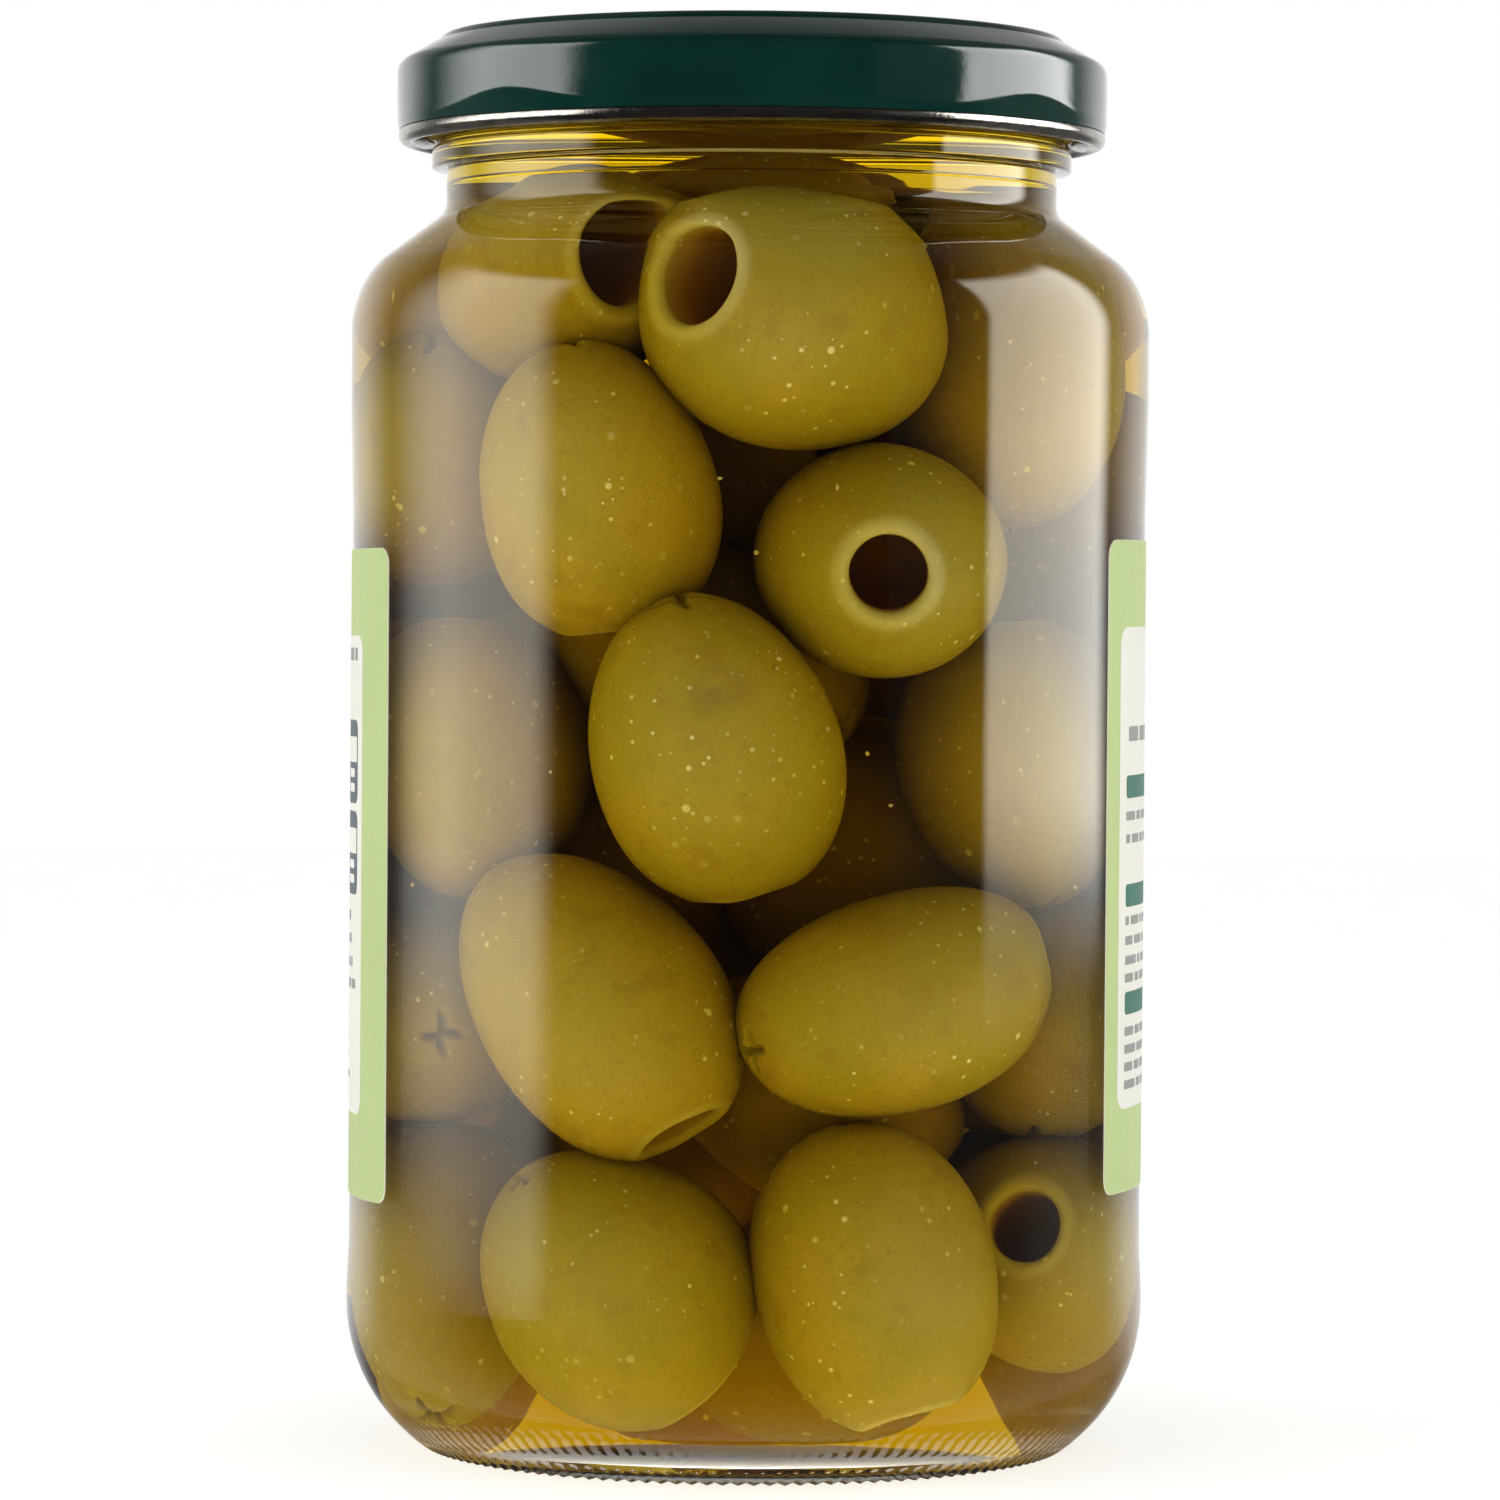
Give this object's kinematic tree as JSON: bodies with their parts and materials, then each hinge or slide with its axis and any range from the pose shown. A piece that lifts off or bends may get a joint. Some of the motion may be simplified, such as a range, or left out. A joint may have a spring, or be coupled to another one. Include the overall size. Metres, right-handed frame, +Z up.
{
  "type": "jar of olives",
  "caption": "Round glass jar with a green twist-off metal lid and a wrap label, filled with whole green olives in brine; stands on its base.",
  "frame": {"origin": "middle of the ring of glass that the jar stands on", "axes": "+Z up along the jar's axis; -Y faces the gap between the label's ends, where the olives show"},
  "size_m": [0.082, 0.082, 0.1448],
  "materials": {
    "glass": "clear flint glass, glossy",
    "lid_lacquer": "dark green gloss lacquer on tinplate, bare curl",
    "label_paper": "satin printed label in yellow-green and off-white",
    "brine": "clear yellow brine",
    "olive": "wet yellow-green olive skin with pale dots"
  },
  "bodies": {
    "root": {"jar": "glass", "lid": "lid_lacquer", "label": "label_paper", "brine": "brine"}
  },
  "joints": []
}
